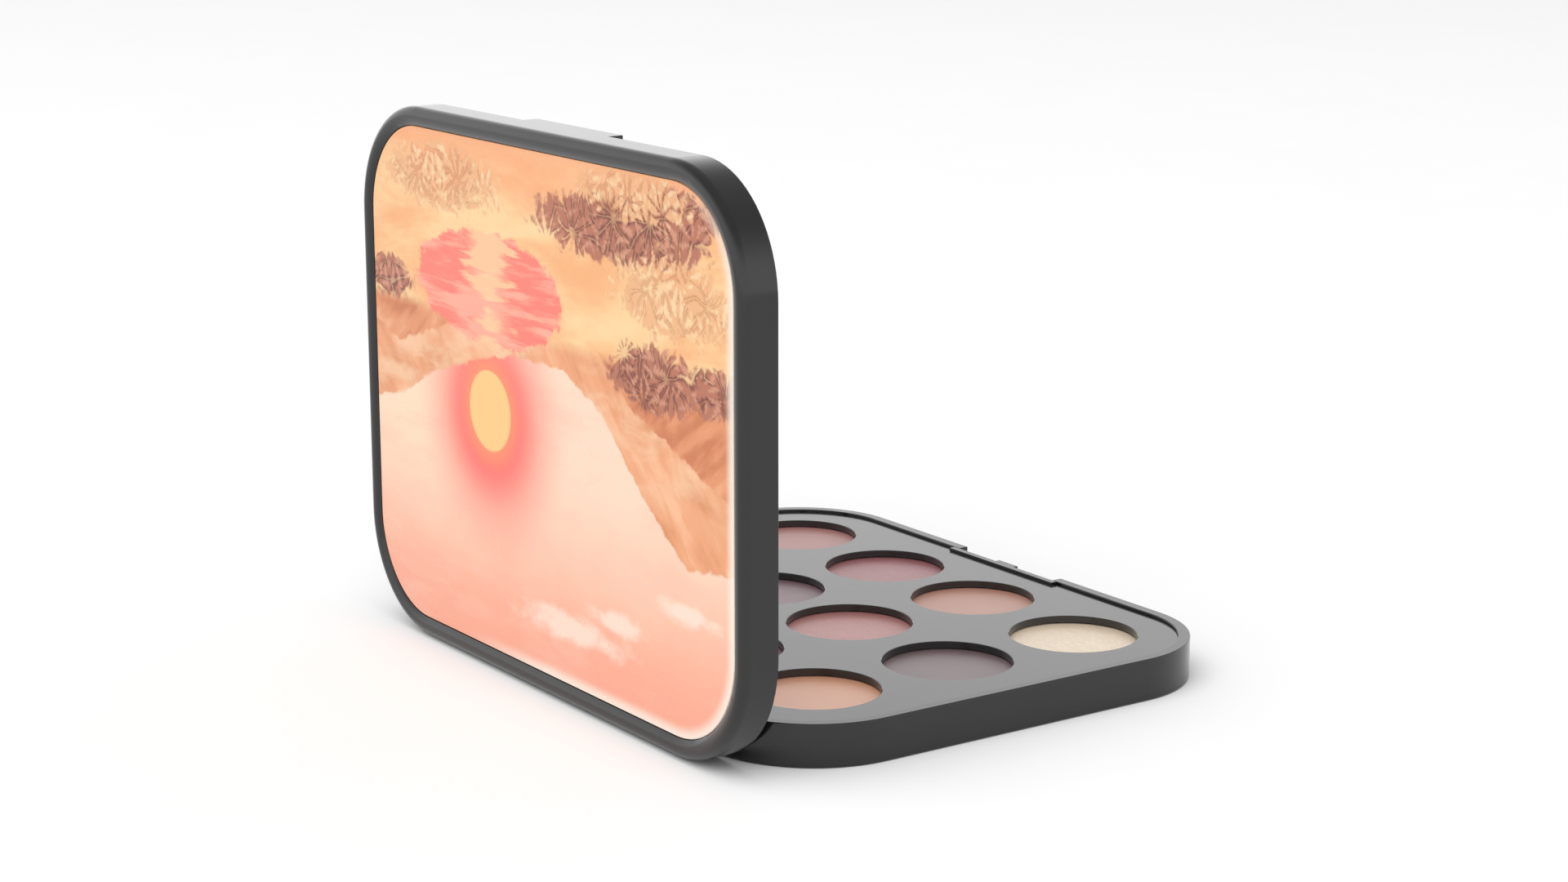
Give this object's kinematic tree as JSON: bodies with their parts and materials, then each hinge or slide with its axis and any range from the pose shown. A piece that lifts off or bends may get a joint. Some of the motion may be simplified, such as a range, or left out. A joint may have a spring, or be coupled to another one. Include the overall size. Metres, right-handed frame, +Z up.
{
  "type": "eyeshadow palette",
  "caption": "Slim charcoal eyeshadow palette with round powder pans, a printed panel on its lid, a mirror inside and a lid hinged along the back edge, shown open upright.",
  "frame": {"origin": "centre of the base casing's flat underside", "axes": "+X along the hinge, +Y from the front latch to the hinge side, +Z up"},
  "size_m": [0.125, 0.1046, 0.0976],
  "materials": {
    "case_plastic": "satin charcoal black with a very fine moulded grain",
    "tray_plastic": "satin charcoal black, finely grained",
    "printed_panel": "glossy, printed with a warm sunset landscape",
    "mirror_glass": "polished",
    "pan_metal": "plain pressed metal",
    "pin_steel": "ground",
    "adhesive": "double-sided tape",
    "label_paper": "matt, blank",
    "shade_a1": "pressed powder",
    "shade_a2": "pressed powder",
    "shade_a3": "pressed powder",
    "shade_a4": "pressed powder",
    "shade_b1": "pressed powder",
    "shade_b2": "pressed powder",
    "shade_b3": "pressed powder",
    "shade_b4": "pressed powder",
    "shade_c1": "pressed powder",
    "shade_c2": "pressed powder",
    "shade_c3": "pressed powder",
    "shade_c4": "pressed powder"
  },
  "bodies": {
    "base": {"base_casing": "case_plastic", "pan_tray": "tray_plastic", "underside_label": "label_paper", "pan_adhesive_pads": "adhesive", "hinge_pin_left": "pin_steel", "hinge_pin_right": "pin_steel", "pan_a1": "pan_metal", "pan_a2": "pan_metal", "pan_a3": "pan_metal", "pan_a4": "pan_metal", "pan_b1": "pan_metal", "pan_b2": "pan_metal", "pan_b3": "pan_metal", "pan_b4": "pan_metal", "pan_c1": "pan_metal", "pan_c2": "pan_metal", "pan_c3": "pan_metal", "pan_c4": "pan_metal", "powder_a1": "shade_a1", "powder_a2": "shade_a2", "powder_a3": "shade_a3", "powder_a4": "shade_a4", "powder_b1": "shade_b1", "powder_b2": "shade_b2", "powder_b3": "shade_b3", "powder_b4": "shade_b4", "powder_c1": "shade_c1", "powder_c2": "shade_c2", "powder_c3": "shade_c3", "powder_c4": "shade_c4"},
    "lid": {"lid_shell": "case_plastic", "printed_panel": "printed_panel", "panel_adhesive": "adhesive", "mirror_surround": "tray_plastic", "mirror": "mirror_glass", "mirror_adhesive": "adhesive"}
  },
  "joints": [
    {"name": "lid_hinge", "type": "hinge", "parent": "base", "child": "lid", "pos_m": [0, 0.04532, 0.00367], "axis": [1, 0, 0], "range_deg": [0, 90]}
  ]
}
